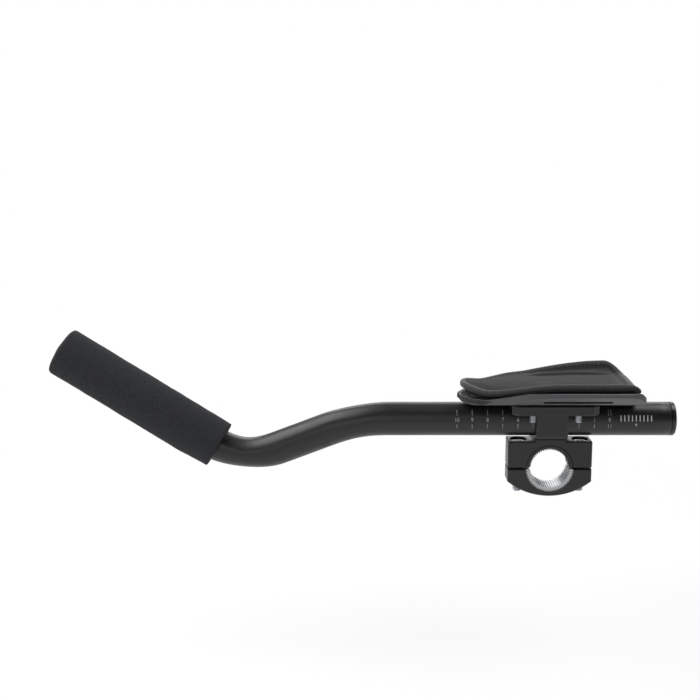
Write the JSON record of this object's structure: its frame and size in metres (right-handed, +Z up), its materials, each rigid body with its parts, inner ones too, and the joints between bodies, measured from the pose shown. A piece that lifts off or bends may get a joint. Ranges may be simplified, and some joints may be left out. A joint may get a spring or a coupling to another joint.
{
  "type": "aero handlebar extension",
  "caption": "Clamp-on aero extension for a bicycle handlebar: bent tube with foam grip, sliding in a bar clamp, with a padded forearm cup above the clamp.",
  "frame": {"origin": "centre of the handlebar clamp's bore, on its axis, midway along its length", "axes": "+X along the tube's straight run to the rear, +Y along the handlebar to the inner side, +Z up"},
  "size_m": [0.4145, 0.08, 0.1074],
  "materials": {
    "black_anodised": "satin black anodised",
    "bare_aluminium": "bare, grooved",
    "plated_steel": "zinc plated",
    "grip_foam": "closed-cell foam",
    "plug_plastic": "satin black",
    "cup_plastic": "satin moulded",
    "hook_tape": "nylon hooks",
    "loop_tape": "nylon loops",
    "pad_fabric": "stretch fabric over foam"
  },
  "bodies": {
    "clamp": {"clamp_body": "black_anodised", "clamp_cap": "black_anodised", "shim_upper": "black_anodised", "shim_lower": "bare_aluminium", "clamp_bolts": "plated_steel", "armrest_bracket": "black_anodised", "pinch_bolt": "plated_steel", "pinch_washer": "plated_steel", "arm_cup": "cup_plastic", "cup_bolts": "plated_steel", "hook_tape_front": "hook_tape", "hook_tape_rear": "hook_tape", "loop_tape_front": "loop_tape", "loop_tape_rear": "loop_tape", "arm_pad": "pad_fabric", "pad_binding": "pad_fabric"},
    "extension": {"extension_tube": "black_anodised", "foam_grip": "grip_foam", "front_end_plug": "plug_plastic", "rear_end_plug": "plug_plastic"}
  },
  "joints": [
    {"name": "extension_slide", "type": "slide", "parent": "clamp", "child": "extension", "axis": [1, 0, 0], "range_m": [-0.037, 0.062]}
  ]
}
